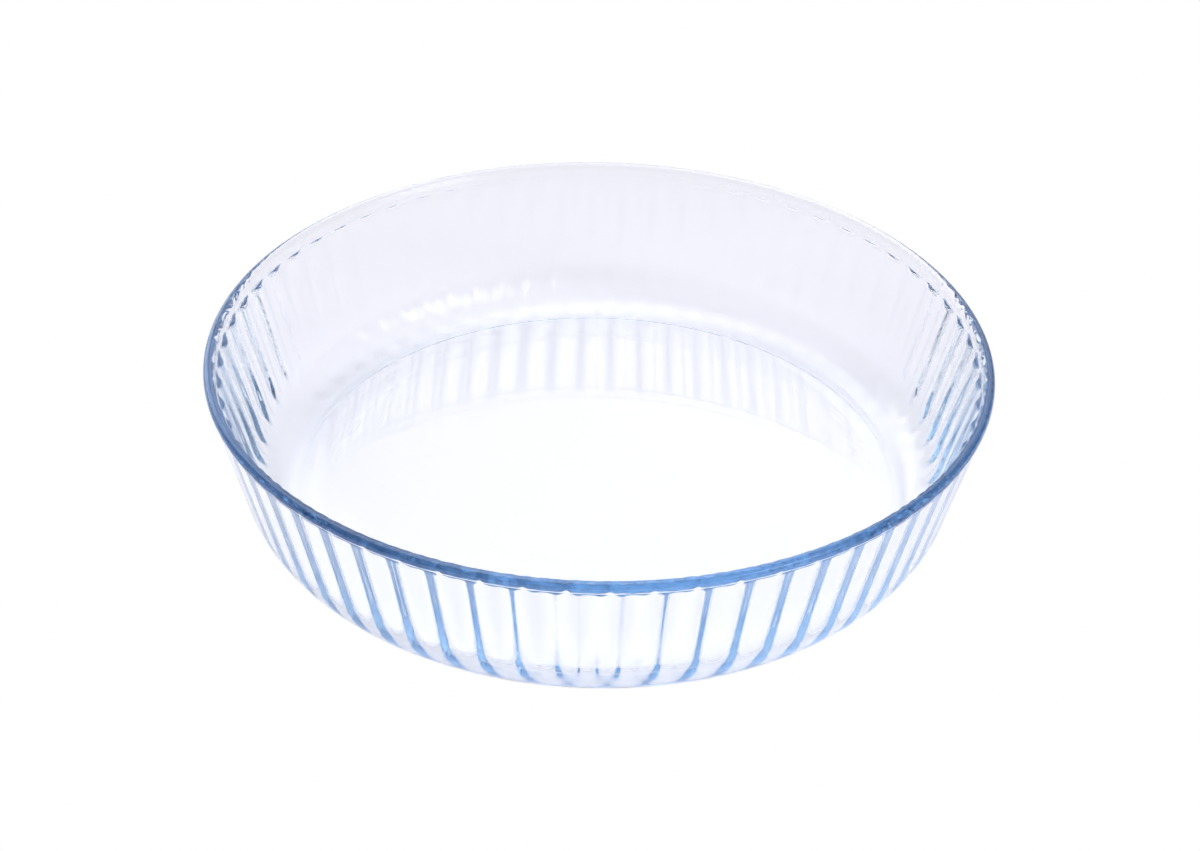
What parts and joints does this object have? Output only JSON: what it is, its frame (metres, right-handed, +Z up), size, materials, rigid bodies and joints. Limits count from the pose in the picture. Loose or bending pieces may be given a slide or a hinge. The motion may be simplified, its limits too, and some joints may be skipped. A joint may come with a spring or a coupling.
{
  "type": "baking dish",
  "caption": "Round deep baking dish of clear, faintly blue glass, with a leaning wall ribbed on the inside, a rounded rim bead and a flat floor, for oven cooking and serving.",
  "frame": {"origin": "centre of the foot, on the table and on the axis of the dish", "axes": "+Z up along the axis of the dish; the picture looks along +Y and down, with +X to its right"},
  "size_m": [0.26, 0.26, 0.057],
  "materials": {
    "glass": "clear pressed glass, smooth and glossy, with a faint blue tint that deepens where the eye looks along the glass, as in the rim"
  },
  "bodies": {
    "root": {"glass_dish": "glass"}
  },
  "joints": []
}
